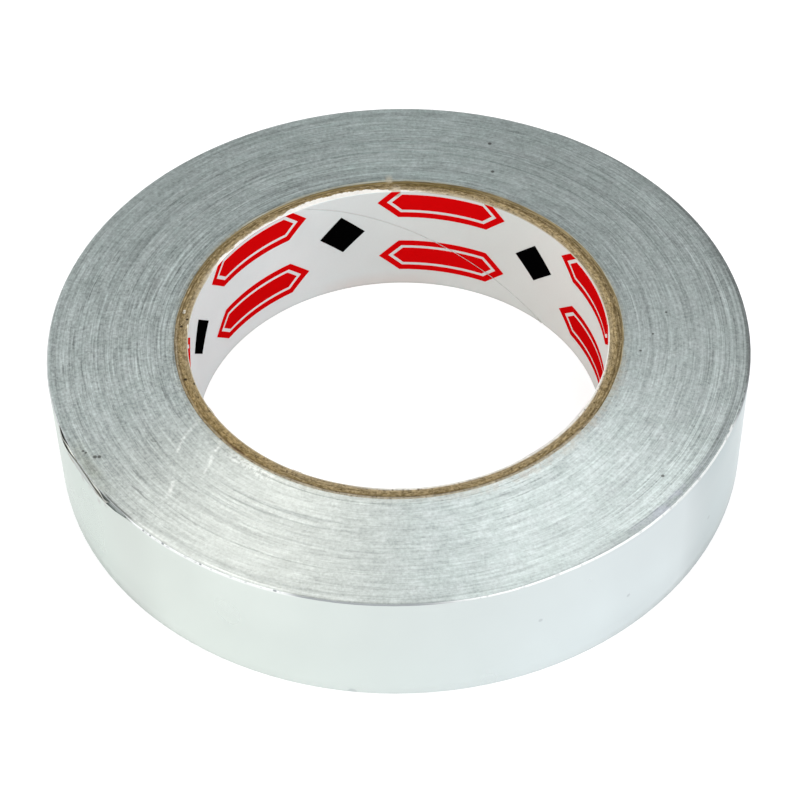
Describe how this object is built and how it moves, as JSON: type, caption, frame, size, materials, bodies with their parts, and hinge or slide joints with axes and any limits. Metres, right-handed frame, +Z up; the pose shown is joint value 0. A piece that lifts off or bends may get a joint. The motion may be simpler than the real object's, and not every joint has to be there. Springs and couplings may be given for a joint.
{
  "type": "roll of aluminium foil tape",
  "caption": "Roll of aluminium foil tape wound on a kraft paper core with a printed paper lining, with a torn sliver lifting off its upper edge.",
  "frame": {"origin": "on the roll's axis, at the end face that it lies on", "axes": "+Z up along the roll's axis; +X and +Y across it, with the picture taken from the -Y side"},
  "size_m": [0.127, 0.1269, 0.024],
  "materials": {
    "foil_tape": "satin foil, finely ribbed by the turns' edges on the end faces",
    "kraft_tube": "matt, fibrous cut end with ply lines",
    "lining_paper": "smooth matt white paper",
    "red_ink": "red ink on smooth paper",
    "black_ink": "black ink on smooth paper"
  },
  "bodies": {
    "root": {"tape_roll": "foil_tape", "core_tube": "kraft_tube", "core_lining": "lining_paper", "print_red": "red_ink", "print_black": "black_ink"}
  },
  "joints": []
}
